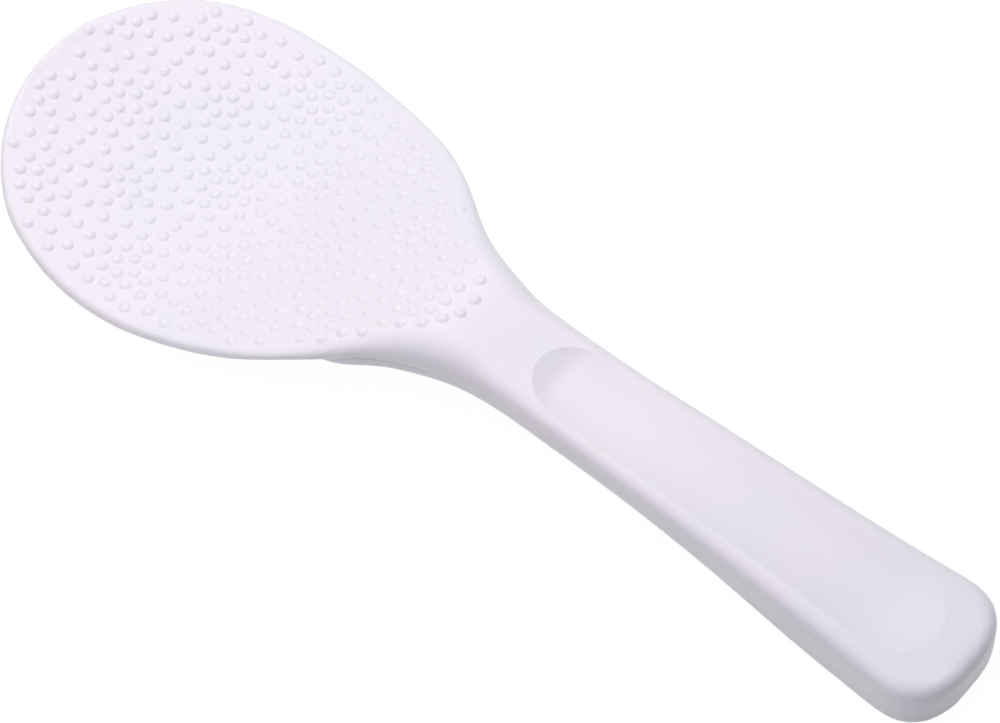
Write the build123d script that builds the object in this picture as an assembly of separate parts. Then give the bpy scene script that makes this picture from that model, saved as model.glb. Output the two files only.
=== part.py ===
from build123d import *
import math
import os

os.makedirs("parts", exist_ok=True)

# Overall sizes, in millimetres
blade_length = 96
grip_length = 117.5
blade_width = 73.4
grip_width = 28.6
blade_thickness = 2.6
dish_depth = 1.5

# Levels above the table: the upper rim at three places, and the arch under the neck
tip_level = 10.5
neck_level = 17.6
butt_level = 11.1
arch_height = 8.0
belly_gap = 0.05

# Rounded edges: how far each reaches inwards, and how deep it is
blade_rim_reach = 1.3
blade_rim_flat = 0.2
grip_edge_reach = 3.9
grip_edge_depth = 3.7
neck_edge_reach = 6.8
neck_edge_depth = 4.8
butt_edge_reach = 3.3
butt_corner_reach = 10.5
edge_break = 0.1

# Cover under the grip, from its nose under the blade's root to the butt
cover_depth = 2.9
cover_edge_reach = 3.4
cover_reveal = 0.25
cover_nose_start = 72
cover_nose_length = 19
nose_edge_reach = 1.6
nose_fade_length = 14
foot_crown = 0.25
foot_trim = 0.05
weld_gap = 0.05

# Hollow inside the grip
wall_thickness = 2.3
roof_thickness = 3.3
floor_thickness = 1.7
hollow_start = 114
hollow_end_wall = 3.6
hollow_corner = 6
roof_corner = 0.5

# Tongue, pins and ribs that hold the two mouldings in line
tongue_thickness = 1.3
tongue_height = 0.8
tongue_clearance = 0.12
pin_radius = 1.5
pin_clearance = 0.08
pin_end_gap = 0.4
shoulder_radius = 2.5
shoulder_gap = 0.1
boss_radius = 3.0
boss_end_gap = 0.6
socket_roof = 0.3
rib_thickness = 1.4
rib_roof_gap = 1.2
rib_side_gap = 0.3
pin_shares = [0.50, 0.70, 0.90]
rib_shares = [0.25, 0.60, 0.80]

# Thumb recess on top of the grip
recess_start = 117.2
recess_end_margin = 7.6
recess_half_width = 8.6
recess_butt_half_width = 10.2
recess_depth = 1.1
recess_arch = 9
recess_front_ramp = 4.5
recess_butt_ramp = 12
recess_lip = 0.25

# Raised domes on the blade, in rosettes on a square grid
dome_radius = 1.2
dome_height = 0.42
dome_sink = 0.35
rosette_pitch = 18.1
rosette_turn = 39.93
rosette_from_tip = 17.24
rosette_aside = 2.36
dome_side_margin = 2.6
dome_tip_margin = 1.9
dome_neck_margin = 1.6
dome_field_end = 101.9
dome_field_drop = 7

# Places of the cross-sections near the ends, measured from the end
tip_stations = [0.03, 0.3, 1.0, 2.2, 4.2, 7.2, 11.5, 17]
butt_stations = [12, 8.5, 5.8, 3.9, 2.6, 1.6, 0.8, 0.3, 0.06]
nose_stations = [0.15, 0.7, 1.8, 3.6, 6, 9, 12.5, 16.5, 20.5]
cover_butt_stations = [11, 8, 5.6, 3.6, 2.0, 1.0, 0.45]
hollow_stations = [0.04, 0.5, 1.6, 3.4, 6]
recess_stations = [0.04, 0.3, 0.9, 1.8, 3.2, 5, 7.2, 9.5]
# The same between the ends, as shares of each length
blade_shares = [0.24, 0.325, 0.41, 0.495, 0.58, 0.665, 0.75, 0.82, 0.885, 0.945, 1.005]
grip_shares = [0.055, 0.11, 0.17, 0.24, 0.33, 0.45, 0.58, 0.72, 0.84]
cover_shares = [0.03, 0.08, 0.15, 0.25, 0.36, 0.48, 0.60, 0.70, 0.78, 0.85]
hollow_shares = [0.15, 0.27, 0.40, 0.53, 0.66, 0.78, 0.87]
recess_shares = [0.22, 0.36, 0.50, 0.64, 0.76]
recess_bed_shares = [-1, -0.8, -0.6, 0, 0.6, 0.8, 1]

# Construction allowances and shape shares
overrun = 2.0
slope_step = 0.05
cover_bite = 1.2
end_share = 0.96
room_share = 0.7
corner_share = 0.5
shoulder_share = 0.8
skirt_share = 0.9
nose_skirt_share = 0.5
thin_share = 0.80
grip_from_share = 0.78
grip_to_share = 0.13
blade_full_share = 0.55
grip_full_share = 0.72
cover_full_share = 0.6
ramp_start_share = -0.05
blade_power = 2
grip_power = 2.7
corner_power = 2.45
hollow_power = 2.4
cover_power = 2.2
nose_power = 3
ease_power = 3
dish_peak = 8 / 3
recess_peak = 32 / 25

overall_length = blade_length + grip_length
half_blade = blade_width / 2
half_grip = grip_width / 2
belly_level = blade_thickness + dish_depth + belly_gap
hollow_end = overall_length - hollow_end_wall
recess_end = overall_length - recess_end_margin
dome_sphere = (dome_radius ** 2 + dome_height ** 2) / (2 * dome_height)
dome_base_angle = math.degrees(math.asin(1 - (dome_height + dome_sink) / dome_sphere))

# Half width of the outline along the blade: share of the length, share of the half width
blade_outline = [
    (0.18, 0.856), (0.24, 0.925), (0.30, 0.971), (0.36, 0.993), (0.41, 1.0), (0.47, 0.995), (0.54, 0.969),
    (0.62, 0.925), (0.69, 0.872), (0.76, 0.800), (0.83, 0.697), (0.90, 0.567), (0.96, 0.455)]
# The same along the grip
grip_outline = [
    (0.02, 0.97), (0.06, 0.86), (0.12, 0.75), (0.19, 0.72), (0.29, 0.728), (0.46, 0.77), (0.63, 0.828),
    (0.80, 0.905), (0.91, 0.975)]
# Rise of the rim: share of the length, share of the way up
tip_rise = [(0.0, 1.0), (0.04, 0.84), (0.115, 0.59), (0.20, 0.36), (0.29, 0.16), (0.40, 0.0)]
root_rise = [(0.50, 0.024), (0.62, 0.152), (0.75, 0.393), (0.84, 0.59), (0.92, 0.77), (0.98, 0.925)]
grip_rise = [
    (0.04, 1.0), (0.12, 0.86), (0.21, 0.67), (0.29, 0.56), (0.46, 0.48), (0.63, 0.337), (0.80, 0.154),
    (0.91, 0.06), (1.0, 0.0)]
# Arch of the cover's underside: share of the grip's length, share of the arch height
under_arch = [
    (-0.17, 0.80), (-0.10, 0.90), (-0.06, 0.95), (0.0, 1.0), (0.06, 0.995), (0.12, 0.945), (0.22, 0.875),
    (0.33, 0.825), (0.44, 0.74), (0.55, 0.585), (0.66, 0.31), (0.74, 0.12), (0.80, 0.025), (0.84, 0.0),
    (1.0, 0.0)]
# How much of the neck's broad rounding there is, as shares of the blade's length
neck_shares = [
    (0.68, 0.0), (0.78, 0.15), (0.88, 0.5), (0.98, 0.92), (1.03, 1.0), (1.10, 0.8), (1.19, 0.3), (1.28, 0.0)]
# How much of the dish there is along the blade
dish_shares = [
    (0.0, 0.10), (0.06, 0.34), (0.15, 0.66), (0.28, 0.93), (0.40, 1.0), (0.55, 0.93), (0.70, 0.62),
    (0.82, 0.26), (0.93, 0.0)]
# Rings of domes in a rosette: how many, radius as a share of the pitch, first angle
inner_ring_shares = [(4, 0.125, 45), (4, 0.24, 0), (4, 0.292, 45)]
odd_ring_shares = [(12, 0.47, 0)]
even_ring_shares = [(8, 0.414, 22.5), (4, 0.528, 45)]
grid_corner_share = 0.5
grid_reach = 5


# Smooth curve through a short table without any overshoot
def smooth(table, at):
    if at <= table[0][0]:
        return table[0][1]
    if at >= table[-1][0]:
        return table[-1][1]
    slopes = []
    for (a, b) in zip(table, table[1:]):
        slopes.append((b[1] - a[1]) / (b[0] - a[0]))
    tangents = [slopes[0]]
    for (before, after) in zip(slopes, slopes[1:]):
        same_way = before * after > 0
        tangents.append(2 * before * after / (before + after) if same_way else 0)
    tangents.append(slopes[-1])
    index = 0
    while table[index + 1][0] < at:
        index += 1
    (a, b) = (table[index], table[index + 1])
    step = b[0] - a[0]
    t = (at - a[0]) / step
    value = a[1] * (1 + 2 * t) * (1 - t) ** 2 + b[1] * t * t * (3 - 2 * t)
    return value + step * t * (1 - t) * (tangents[index] * (1 - t) - tangents[index + 1] * t)


def blend(first, second, share):
    return first + (second - first) * share


# Rounding of an edge of the given reach: 0 at the very edge, 1 when past the reach
def rounding(distance, reach, power):
    inside = min(1, max(0, 1 - distance / reach))
    return (1 - inside ** power) ** (1 / power)


# Reach of an edge that eases towards the most that there is room for
def eased(reach, room):
    return reach / (1 + (reach / room) ** ease_power) ** (1 / ease_power)


# Frame position of a place given by its distance from the tip
def place(x, y, z):
    return (overall_length / 2 - x, y, z)


# Half width of the outline: a round nose, the blade, the grip and a rounded butt
def half_width(x):
    nose_end = blade_outline[0][0] * blade_length
    if x < nose_end:
        nose_half = blade_outline[0][1] * half_blade
        nose_radius = (nose_half ** 2 + nose_end ** 2) / (2 * nose_end)
        return math.sqrt(max(0, 2 * nose_radius * x - x * x))
    table = [(share * blade_length, width * half_blade) for (share, width) in blade_outline]
    table += [(blade_length + share * grip_length, width * half_grip) for (share, width) in grip_outline]
    return smooth(table, x) * rounding(overall_length - x, butt_corner_reach, corner_power)


# Upper rim level, before the end edges are rounded
def rim_level(x):
    table = [(share * blade_length, blend(belly_level, tip_level, rise)) for (share, rise) in tip_rise]
    table += [(share * blade_length, blend(belly_level, neck_level, rise)) for (share, rise) in root_rise]
    for (share, rise) in grip_rise:
        table.append((blade_length + share * grip_length, blend(butt_level, neck_level, rise)))
    return smooth(table, x)


def cover_bottom(x):
    return blend(-foot_trim, arch_height, smooth(under_arch, (x - blade_length) / grip_length))


# Upper moulding below its rim: a thin blade, then down to the seam of the grip
def upper_depth(x):
    if x > blade_length:
        return rim_level(x) - cover_bottom(x) - cover_depth
    root_depth = rim_level(blade_length) - cover_bottom(blade_length) - cover_depth
    thin_end = thin_share * blade_length
    return smooth([(0, blade_thickness), (thin_end, blade_thickness), (blade_length, root_depth)], x)


def seam_level(x):
    return rim_level(x) - upper_depth(x)


def roof_level(x):
    return rim_level(x) - roof_thickness


def floor_level(x):
    return cover_bottom(x) + floor_thickness


# How far along the change from thin blade to thick grip a place lies, 0 to 1
def grip_share(x):
    return smooth([(grip_from_share * blade_length, 0), (blade_length + grip_to_share * grip_length, 1)], x)


# How steeply the outline runs at a place, for edges cut at a slant
def slant(x, width):
    (low, high) = (max(0, x - slope_step), min(overall_length, x + slope_step))
    return math.hypot(1, (width(high) - width(low)) / (high - low))


# Rounded corner of a cross-section between two points; full is how squarely it bulges
def corner(start, end, outer, full):
    (first, second, bend) = (Vector(*start), Vector(*end), Vector(*outer))
    return Edge.make_bezier(first, first + (bend - first) * full, second + (bend - second) * full, second)


# Gently dished curve from one side to the other, level at both ends
def across(x, half, level, dish):
    points = []
    for (share, sag) in zip([-1, -0.5, 0, 0.5, 1], [0, 0, dish_peak, 0, 0]):
        points.append(Vector(*place(x, share * half, level - sag * dish)))
    return Edge.make_bezier(*points)


# Closed cross-section: dished top, rounded corners, upright sides and an underside
def section(x, half, levels, upper_corner, lower_corner, full, dishes):
    (top, bottom) = levels
    (upper_half, shoulder) = (half - upper_corner[0], top - upper_corner[1])
    (lower_half, skirt) = (half - lower_corner[0], bottom + lower_corner[1])
    edges = [across(x, upper_half, top, dishes[0])]
    edges.append(corner(place(x, upper_half, top), place(x, half, shoulder), place(x, half, top), full))
    edges.append(Edge.make_line(place(x, half, shoulder), place(x, half, skirt)))
    edges.append(corner(place(x, half, skirt), place(x, lower_half, bottom), place(x, half, bottom), full))
    edges.append(across(x, -lower_half, bottom, dishes[1]))
    edges.append(corner(place(x, -lower_half, bottom), place(x, -half, skirt), place(x, -half, bottom), full))
    edges.append(Edge.make_line(place(x, -half, skirt), place(x, -half, shoulder)))
    edges.append(corner(place(x, -half, shoulder), place(x, -upper_half, top), place(x, -half, top), full))
    return Face(Wire(edges))


def upper_section(x):
    (to_grip, half, depth) = (grip_share(x), half_width(x), upper_depth(x))
    from_tip = rounding(x, blade_rim_reach, blade_power)
    from_butt = rounding(overall_length - x, butt_edge_reach, grip_power)
    (rim_depth, to_neck) = ((depth - blade_rim_flat) / 2, smooth(neck_shares, x / blade_length))
    lower_drop = blend(rim_depth, edge_break, to_grip)
    shoulder = blend(rim_depth, min(grip_edge_depth, depth * shoulder_share), to_grip)
    shoulder = blend(shoulder, min(neck_edge_depth, depth - lower_drop - blade_rim_flat), to_neck)
    top = rim_level(x) - (1 - from_butt) * shoulder - (1 - from_tip) * depth / 2
    bottom = rim_level(x) - depth + (1 - from_tip) * depth / 2
    slope = slant(x, half_width)
    edge_reach = blend(blend(blade_rim_reach, grip_edge_reach, to_grip), neck_edge_reach, to_neck)
    upper_reach = eased(edge_reach * slope, half * room_share)
    lower_reach = eased(blend(blade_rim_reach, edge_break, to_grip) * slope, half * end_share)
    upper_corner = (upper_reach, shoulder * from_tip * from_butt)
    lower_corner = (lower_reach, blend(rim_depth * from_tip, edge_break, to_grip))
    full = blend(blend(blade_full_share, grip_full_share, to_grip), blade_full_share, to_neck)
    dish = dish_depth * smooth(dish_shares, x / blade_length)
    return section(x, half, (top, bottom), upper_corner, lower_corner, full, (dish, dish))


# Whole outside of the upper moulding: blade, neck and the top and sides of the grip
def upper_outside():
    stations = tip_stations + [blade_length * share for share in blade_shares]
    stations += [blade_length + grip_length * share for share in grip_shares]
    stations += [overall_length - distance for distance in butt_stations]
    return loft([upper_section(x) for x in stations])


# How far along its nose a place on the cover lies, 0 to 1
def nose_share(x):
    return min(1, (x - cover_nose_start) / cover_nose_length)


# Half width of the cover: rounded nose under the blade's root, then just inside the grip's sides
def cover_half_width(x):
    return max(0, half_width(x) - cover_reveal) * rounding(nose_share(x), 1, blade_power)


def cover_section(x):
    half = cover_half_width(x)
    from_butt = rounding(overall_length - x, cover_edge_reach, cover_power)
    drop = (seam_level(x) - cover_bottom(x)) * (1 - (1 - nose_share(x)) ** nose_power) * from_butt
    levels = (seam_level(x) + cover_bite, seam_level(x) - drop)
    fade = smooth([(blade_length, 0), (blade_length + nose_fade_length, 1)], x)
    edge_reach = blend(nose_edge_reach, cover_edge_reach, fade) * slant(x, cover_half_width)
    lower_corner = (eased(edge_reach, half * end_share), drop * blend(nose_skirt_share, skirt_share, fade))
    crown = foot_crown * nose_share(x) * from_butt
    return section(x, half, levels, (edge_break, edge_break), lower_corner, cover_full_share, (0, crown))


def cover_outside():
    stations = [cover_nose_start + distance for distance in nose_stations]
    stations += [blade_length + grip_length * share for share in cover_shares]
    stations += [overall_length - distance for distance in cover_butt_stations]
    return loft([cover_section(x) for x in stations])


# Half width of the hollow, drawn in further by an inset, with rounded ends
def hollow_half_width(x, inset):
    (from_start, from_end) = (x - hollow_start - inset, hollow_end - inset - x)
    ends = rounding(from_start, hollow_corner, hollow_power) * rounding(from_end, hollow_corner, hollow_power)
    return (half_width(x) - wall_thickness - inset) * ends


# Solid that follows the hollow between two levels
def hollow_block(inset, top_level, bottom_level, top_corner):
    (start, end) = (hollow_start + inset, hollow_end - inset)
    stations = [start + distance for distance in hollow_stations]
    stations += [blend(start, end, share) for share in hollow_shares]
    stations += [end - distance for distance in reversed(hollow_stations)]
    (faces, lower_corner) = ([], (edge_break, edge_break))
    for x in stations:
        (half, top, bottom) = (hollow_half_width(x, inset), top_level(x), bottom_level(x))
        upper_corner = (min(top_corner, half * corner_share), min(top_corner, (top - bottom) * corner_share))
        faces.append(section(x, half, (top, bottom), upper_corner, lower_corner, blade_full_share, (0, 0)))
    return loft(faces)


def along_hollow(share):
    return blend(hollow_start, hollow_end, share)


def upright(x, radius, bottom, top):
    post = Cylinder(radius, top - bottom, align=(Align.CENTER, Align.CENTER, Align.MIN))
    return Pos(*place(x, 0, bottom)) * post


# Top of each blind socket
def socket_top(x):
    return roof_level(x) - socket_roof


# One cross-section of the recess cutter: flat floor, soft flanks, open above
def recess_section(x):
    (from_start, from_end) = (x - recess_start, recess_end - x)
    wide = blend(recess_half_width, recess_butt_half_width, from_start / (recess_end - recess_start))
    nearest_end = min(from_start, from_end)
    half = wide * rounding(nearest_end, recess_arch, blade_power)
    front_share = smooth([(0, ramp_start_share), (recess_front_ramp, 1)], from_start)
    butt_share = smooth([(0, ramp_start_share), (recess_butt_ramp, 1)], from_end)
    level = rim_level(x)
    floor = level - recess_depth * front_share * butt_share * recess_peak
    (bed, lip) = ([], level + recess_lip)
    for (share, height) in zip(recess_bed_shares, [lip, level, floor, floor, floor, level, lip]):
        bed.append(Vector(*place(x, share * half, height)))
    left_top = Vector(*place(x, -half, level + overrun))
    right_top = Vector(*place(x, half, level + overrun))
    edges = [Edge.make_bezier(*bed), Edge.make_line(bed[-1], right_top)]
    edges += [Edge.make_line(right_top, left_top), Edge.make_line(left_top, bed[0])]
    return Face(Wire(edges))


def recess_cutter():
    stations = [recess_start + distance for distance in recess_stations]
    stations += [blend(recess_start, recess_end, share) for share in recess_shares]
    stations += [recess_end - distance for distance in reversed(recess_stations)]
    return loft([recess_section(x) for x in stations])


# Offsets of the domes in one rosette, as shares of the pitch: rings round a clear middle
def rosette_domes(odd):
    offsets = [(grid_corner_share, grid_corner_share)]
    for (count, radius, first) in inner_ring_shares + (odd_ring_shares if odd else even_ring_shares):
        for index in range(count):
            angle = math.radians(first + 360 * index / count)
            offsets.append((radius * math.cos(angle), radius * math.sin(angle)))
    return offsets


# A dome stands only inside the smooth border and before the arc that closes the field at the neck
def dome_wanted(x, y):
    if x < dome_tip_margin or x > dome_field_end - dome_field_drop * (y / half_grip) ** 2:
        return False
    margin = blend(dome_tip_margin, dome_side_margin, min(1, x / half_blade))
    margin += dome_neck_margin * smooth(neck_shares, x / blade_length)
    return (half_width(x) - abs(y)) / slant(x, half_width) > margin


# Distances from the tip and from the middle line of every dome
def dome_places():
    (places, turn) = ([], math.radians(rosette_turn))
    grid = range(-grid_reach, grid_reach + 1)
    for (row, column) in [(row, column) for row in grid for column in grid]:
        for (across_share, down_share) in rosette_domes((row + column) % 2 == 1):
            (u, v) = ((column + across_share) * rosette_pitch, (row + down_share) * rosette_pitch)
            x = rosette_from_tip + u * math.cos(turn) + v * math.sin(turn)
            y = v * math.cos(turn) - u * math.sin(turn) - rosette_aside
            if dome_wanted(x, y):
                places.append((x, y))
    return places


# Cap of a sphere, sunk into the blade so that only a low dome stands above it
def dome(body, x, y):
    hits = body.find_intersection_points(Axis(place(x, y, neck_level + overrun), (0, 0, -1)))
    (point, normal) = max(hits, key=lambda hit: hit[0].Z)
    upwards = normal if normal.Z > 0 else normal * -1
    centre = point - upwards * (dome_sphere - dome_height)
    return Plane(origin=centre, z_dir=upwards) * Sphere(dome_sphere, arc_size1=dome_base_angle, align=None)


# Blade, neck and grip shell, with bosses inside, the recess on top and the domes on the blade
def blade_and_grip(outside):
    body = outside - hollow_block(0, roof_level, lambda x: seam_level(x) - overrun, roof_corner)
    for x in [along_hollow(share) for share in pin_shares]:
        body += upright(x, boss_radius, seam_level(x) + boss_end_gap, roof_level(x) + edge_break)
        body -= upright(x, pin_radius + pin_clearance, seam_level(x) - overrun, socket_top(x))
    body -= recess_cutter()
    return body.fuse(*[dome(outside, x, y) for (x, y) in dome_places()])


# Cover with its tongue, tray, ribs and pins, and a flat foot under the butt
def grip_cover(outside):
    body = cover_outside() - Pos(0, 0, -weld_gap) * outside
    tongue_inset = tongue_clearance + tongue_thickness
    body += hollow_block(tongue_clearance, lambda x: seam_level(x) + tongue_height, floor_level, edge_break)
    body -= hollow_block(tongue_inset, lambda x: seam_level(x) + overrun, floor_level, edge_break)
    for x in [along_hollow(share) for share in rib_shares]:
        (bottom, top) = (floor_level(x) - floor_thickness / 2, roof_level(x) - rib_roof_gap)
        width = 2 * hollow_half_width(x, tongue_clearance + rib_side_gap)
        rib = Box(rib_thickness, width, top - bottom, align=(Align.CENTER, Align.CENTER, Align.MIN))
        body += Pos(*place(x, 0, bottom)) * rib
    for x in [along_hollow(share) for share in pin_shares]:
        bottom = floor_level(x) - floor_thickness / 2
        body += upright(x, shoulder_radius, bottom, seam_level(x) + boss_end_gap - shoulder_gap)
        body += upright(x, pin_radius, bottom, socket_top(x) - pin_end_gap)
    table = Box(2 * overall_length, overall_length, overrun, align=(Align.CENTER, Align.CENTER, Align.MAX))
    return body - table


outside = upper_outside()
parts = {"blade_and_grip": blade_and_grip(outside), "grip_cover": grip_cover(outside)}
for (name, part) in parts.items():
    print(name, part.is_valid, len(part.solids()), round(part.volume))
    export_step(part, "parts/" + name + ".step")
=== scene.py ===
import math

import bpy
from mathutils import Matrix, Vector

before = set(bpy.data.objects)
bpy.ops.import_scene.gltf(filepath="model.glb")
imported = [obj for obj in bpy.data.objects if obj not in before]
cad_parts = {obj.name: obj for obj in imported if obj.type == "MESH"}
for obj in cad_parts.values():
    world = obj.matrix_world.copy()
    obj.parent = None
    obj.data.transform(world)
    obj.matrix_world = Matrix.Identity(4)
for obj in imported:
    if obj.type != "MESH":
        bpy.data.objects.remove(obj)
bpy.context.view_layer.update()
print("frame loaded with", ", ".join(sorted(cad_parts)))


# Shader tools

class Wire:
    # a socket that takes part in sums: wire * 2, 1 - wire, wire + other
    def __init__(self, finish, socket):
        self.finish = finish
        self.socket = socket

    def sum(self, operation, first, second):
        return self.finish.node("ShaderNodeMath", {"operation": operation}, {0: first, 1: second})

    def __add__(self, other):
        return self.sum("ADD", self, other)

    def __radd__(self, other):
        return self.sum("ADD", other, self)

    def __sub__(self, other):
        return self.sum("SUBTRACT", self, other)

    def __rsub__(self, other):
        return self.sum("SUBTRACT", other, self)

    def __mul__(self, other):
        return self.sum("MULTIPLY", self, other)

    def __rmul__(self, other):
        return self.sum("MULTIPLY", other, self)


class Finish:
    # the nodes of one material, or of the sky
    def __init__(self, owner):
        owner.use_nodes = True
        self.tree = owner.node_tree
        self.tree.nodes.clear()

    def node(self, kind, settings=None, sockets=None, output=0):
        # any node: its settings first, then the values or wires of its sockets
        made = self.tree.nodes.new(kind)
        for name, value in (settings or {}).items():
            setattr(made, name, value)
        for name, value in (sockets or {}).items():
            if isinstance(value, Wire):
                self.tree.links.new(value.socket, made.inputs[name])
            else:
                made.inputs[name].default_value = value
        return Wire(self, made.outputs[output]) if len(made.outputs) else None

    def place(self):
        # a point of the object, in metres
        return self.node("ShaderNodeTexCoord", output="Object")

    def noise(self, size, detail, roughness=0.5):
        # soft random tones whose patches are about size metres across
        sockets = {"Vector": self.place(), "Scale": 1 / size, "Detail": detail, "Roughness": roughness}
        return self.node("ShaderNodeTexNoise", {}, sockets)

    def step(self, value, levels, top=1.0):
        # 0 below the first level, top above the second, and a soft rise between them
        sockets = {"Value": value, "From Min": levels[0], "From Max": levels[1], "To Min": 0.0, "To Max": top}
        return self.node("ShaderNodeMapRange", {"interpolation_type": "SMOOTHSTEP"}, sockets)

    def mixColour(self, amount, first, second):
        sockets = {"Factor": amount, 6: first, 7: second}
        return self.node("ShaderNodeMix", {"data_type": "RGBA"}, sockets, output=2)

    def mixShader(self, amount, first, second):
        return self.node("ShaderNodeMixShader", {}, {0: amount, 1: first, 2: second})

    def output(self, surface, kind="ShaderNodeOutputMaterial"):
        self.node(kind, {}, {"Surface": surface})


# Plastic

mouldedPlastic = {
    "colour": (0.865, 0.825, 0.880, 1),
    "coolColour": (0.850, 0.825, 0.885, 1),
    "paleColour": (0.885, 0.860, 0.895, 1),
    "flowSize": 0.045,  # slow patches where the plastic flowed into the mould
    "flowLevels": (0.35, 0.65),
    "grainSize": 0.00035,
    "grainHeight": 0.000004,
    "grainLevels": (0.55, 0.85),
    "grainPaleness": 0.35,
    "roughness": 0.40,
    "roughnessSwing": 0.12,
    "scuffAngles": (20, -35, 80),  # degrees, one set of fine scuffs each
    "scuffLength": 0.012,
    "scuffWidth": 0.00016,
    "scuffLevels": (0.66, 0.76),
    "scuffPatchSize": 0.0225,
    "scuffPatchLevels": (0.45, 0.70),
    "scuffRoughness": 0.10,
    "scuffDepth": 0.000003,
    "refraction": 1.48,
    "glow": 0.35,  # how much light spreads inside the plastic
    "glowDepth": 0.0018,
}


def makeScuffs(finish, looks):
    # thin straight marks from handling, in loose patches
    stretch = (1 / looks["scuffLength"], 1 / looks["scuffWidth"], 1 / looks["scuffLength"])
    marks = 0
    for angle in looks["scuffAngles"]:
        turned = {"Vector": finish.place(), "Rotation": (0, 0, math.radians(angle)), "Scale": stretch}
        along = finish.node("ShaderNodeMapping", {}, turned)
        lines = finish.node("ShaderNodeTexNoise", {}, {"Vector": along, "Scale": 1.0, "Detail": 1.0})
        marks = finish.step(lines, looks["scuffLevels"]) + marks
    patches = finish.noise(looks["scuffPatchSize"], detail=2.0)
    return marks * finish.step(patches, looks["scuffPatchLevels"])


def makePlastic(name, looks):
    material = bpy.data.materials.new(name)
    finish = Finish(material)
    flow = finish.noise(looks["flowSize"], detail=3.0)
    fine = finish.noise(looks["grainSize"], detail=3.0, roughness=0.6)
    scuffs = makeScuffs(finish, looks)
    tone = finish.mixColour(finish.step(flow, looks["flowLevels"]), looks["colour"], looks["coolColour"])
    paleness = finish.step(fine, looks["grainLevels"], looks["grainPaleness"])
    tone = finish.mixColour(paleness, tone, looks["paleColour"])
    uneven = flow + fine - 1  # each noise averages a half
    roughness = looks["roughness"] + uneven * looks["roughnessSwing"] + scuffs * looks["scuffRoughness"]
    relief = fine * looks["grainHeight"] - scuffs * looks["scuffDepth"]
    bump = finish.node("ShaderNodeBump", {}, {"Strength": 1.0, "Distance": 1.0, "Height": relief})
    finish.output(finish.node("ShaderNodeBsdfPrincipled", {}, {
        "Base Color": tone,
        "Roughness": roughness,
        "Normal": bump,
        "IOR": looks["refraction"],
        "Subsurface Weight": looks["glow"],
        "Subsurface Scale": looks["glowDepth"],
        "Subsurface Radius": (1, 1, 1),
    }))
    return material


def dress(node, material):
    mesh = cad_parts[node].data
    mesh.materials.clear()
    mesh.materials.append(material)


dress("blade_and_grip", makePlastic("satinPlastic", mouldedPlastic))
dress("grip_cover", makePlastic("satinCoverPlastic", mouldedPlastic))
print("plastic done")


# Floor and sky

white = (1, 1, 1, 1)

paleFloor = {
    "size": 6.0,
    "level": -0.0001,  # just under the table, so that the foot and the floor don't share a plane
    "bounce": (0.90, 0.89, 0.91, 1),  # what it throws back at the object
    "shade": (0.08, 0.08, 0.08, 1),  # how much of its own shade the camera sees
    "glow": 0.96,  # how white the camera sees it without its shade
}

softSky = {
    "tone": (0.91, 0.96, 1.0, 1),
    "strength": 0.19,
}


def seenDirectly(finish):
    # 1 for what the camera or a reflection sees, 0 for light that spreads
    path = "ShaderNodeLightPath"
    camera = finish.node(path, output="Is Camera Ray")
    glossy = finish.node(path, output="Is Glossy Ray")
    through = finish.node(path, output="Is Transmission Ray")
    return finish.node("ShaderNodeClamp", {}, {"Value": camera + glossy + through})


def makeFloor(looks):
    half = looks["size"] / 2
    mesh = bpy.data.meshes.new("floor")
    corners = [(-half, -half, 0), (half, -half, 0), (half, half, 0), (-half, half, 0)]
    mesh.from_pydata(corners, [], [(0, 1, 2, 3)])
    floor = bpy.data.objects.new("floor", mesh)
    floor.location.z = looks["level"]
    bpy.context.scene.collection.objects.link(floor)
    material = bpy.data.materials.new("paleFloor")
    finish = Finish(material)
    bounce = finish.node("ShaderNodeBsdfDiffuse", {}, {"Color": looks["bounce"]})
    shade = finish.node("ShaderNodeBsdfDiffuse", {}, {"Color": looks["shade"]})
    glow = finish.node("ShaderNodeEmission", {}, {"Color": white, "Strength": looks["glow"]})
    seen = finish.node("ShaderNodeAddShader", {}, {0: shade, 1: glow})
    top = finish.mixShader(seenDirectly(finish), bounce, seen)
    below = finish.node("ShaderNodeNewGeometry", output="Backfacing")
    clear = finish.node("ShaderNodeBsdfTransparent", {}, {"Color": white})
    finish.output(finish.mixShader(below, top, clear))  # clear from below, to show the underside
    mesh.materials.append(material)


def makeSky(looks):
    world = bpy.data.worlds.new("softSky")
    bpy.context.scene.world = world
    finish = Finish(world)
    sky = finish.node("ShaderNodeBackground", {}, {"Color": looks["tone"], "Strength": looks["strength"]})
    seen = finish.node("ShaderNodeBackground", {}, {"Color": white, "Strength": 1.0})
    finish.output(finish.mixShader(seenDirectly(finish), sky, seen), "ShaderNodeOutputWorld")


makeFloor(paleFloor)
makeSky(softSky)
print("floor and sky done")


# Lamps

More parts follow.
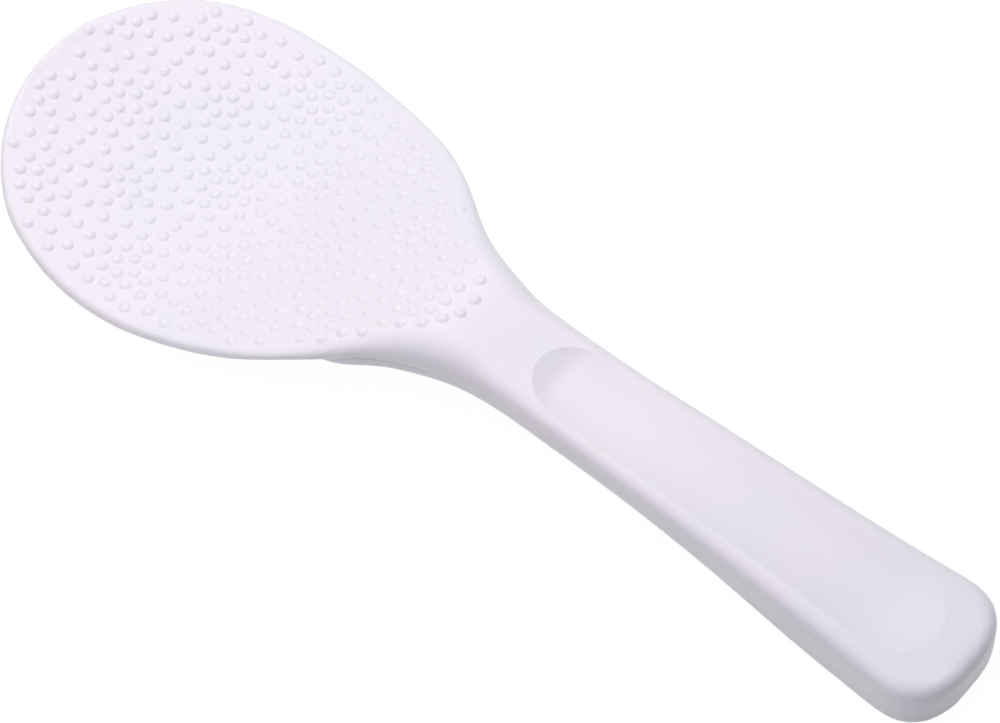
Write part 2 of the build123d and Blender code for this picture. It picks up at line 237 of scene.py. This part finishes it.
lamps = {
    "keyLamp": {"place": (0.16, -0.10, 0.45), "size": 0.55, "power": 2.16, "tone": (1.0, 0.97, 1.0)},
    "fillLamp": {"place": (0.05, 0.28, 0.32), "size": 0.3, "power": 0.32, "tone": (1.0, 0.97, 1.0)},
    "coolLamp": {"place": (-0.24, -0.28, 0.30), "size": 0.3, "power": 0.12, "tone": (0.80, 0.97, 1.0)},
}


def makeLamp(name, looks):
    # a square lamp that faces the middle of the paddle
    light = bpy.data.lights.new(name, "AREA")
    light.color = looks["tone"]
    light.shape = "SQUARE"
    light.size = looks["size"]
    light.energy = looks["power"]
    lamp = bpy.data.objects.new(name, light)
    lamp.location = looks["place"]
    lamp.rotation_euler = Vector(looks["place"]).to_track_quat("Z", "Y").to_euler()
    lamp.visible_camera = False
    bpy.context.scene.collection.objects.link(lamp)


for lampName, lampLooks in lamps.items():
    makeLamp(lampName, lampLooks)
bpy.context.scene.view_settings.view_transform = "Standard"
print("lamps done")


# Camera

view = {
    "turn": 37.93,  # degrees round the upright axis
    "rise": 57.34,  # degrees above the table
    "roll": 0.52,  # degrees
    "distance": 0.8602,
    "lens": 169.4,
    "sensor": 36,
    "shiftX": 0.0072,
    "shiftY": 0.0130,
}


def makeCamera():
    turn, rise, roll = [math.radians(view[angle]) for angle in ("turn", "rise", "roll")]
    right = Vector((-math.cos(turn), -math.sin(turn), 0))
    back = Vector((-math.sin(turn) * math.cos(rise), math.cos(turn) * math.cos(rise), math.sin(rise)))
    up = back.cross(right)
    across = right * math.cos(roll) + up * math.sin(roll)
    above = up * math.cos(roll) - right * math.sin(roll)
    data = bpy.data.cameras.new("camera")
    data.sensor_width = view["sensor"]
    data.lens = view["lens"]
    data.shift_x = view["shiftX"]
    data.shift_y = view["shiftY"]
    camera = bpy.data.objects.new("camera", data)
    bpy.context.scene.collection.objects.link(camera)
    facing = Matrix((across, above, back)).transposed().to_4x4()
    camera.matrix_world = Matrix.Translation(back * view["distance"]) @ facing
    bpy.context.scene.camera = camera


makeCamera()
print("camera done")
